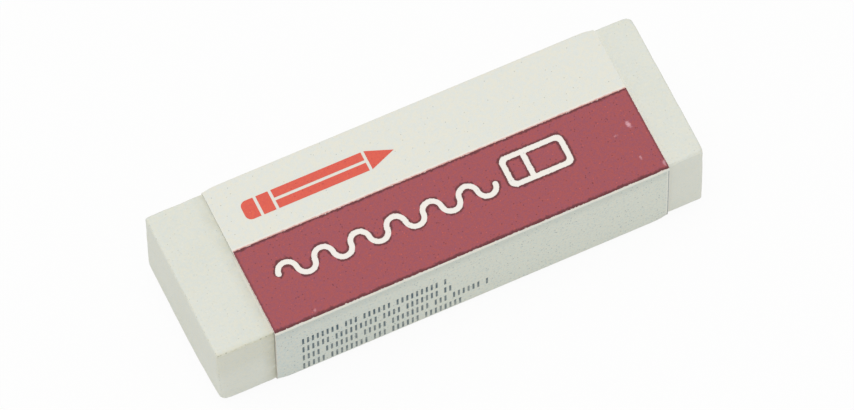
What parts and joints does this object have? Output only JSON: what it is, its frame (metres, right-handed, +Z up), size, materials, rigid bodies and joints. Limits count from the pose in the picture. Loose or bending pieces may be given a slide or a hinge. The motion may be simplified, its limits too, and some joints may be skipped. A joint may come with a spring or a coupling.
{
  "type": "block eraser in card sleeve",
  "caption": "Rectangular white vinyl eraser block held in a folded, printed card sleeve that slides along it.",
  "frame": {"origin": "on the underside of the sleeve's bottom panel, below the middle of the block", "axes": "+X along the length, towards the end that shows less bare block; +Y to the back; +Z up, out of the printed top panel"},
  "size_m": [0.065, 0.0218, 0.013],
  "materials": {
    "vinyl": "matt, slightly translucent soft vinyl",
    "card": "white coated card, satin outside",
    "maroon_ink": "flat printed ink",
    "red_ink": "flat printed ink",
    "slate_ink": "flat printed ink"
  },
  "bodies": {
    "block": {"eraser_block": "vinyl"},
    "sleeve": {"card_sleeve": "card", "band_print": "maroon_ink", "emblem_print": "red_ink", "small_print": "slate_ink"}
  },
  "joints": [
    {"name": "sleeve_slide", "type": "slide", "parent": "block", "child": "sleeve", "axis": [1, 0, 0], "range_m": [-0.0601, 0.0574]}
  ]
}
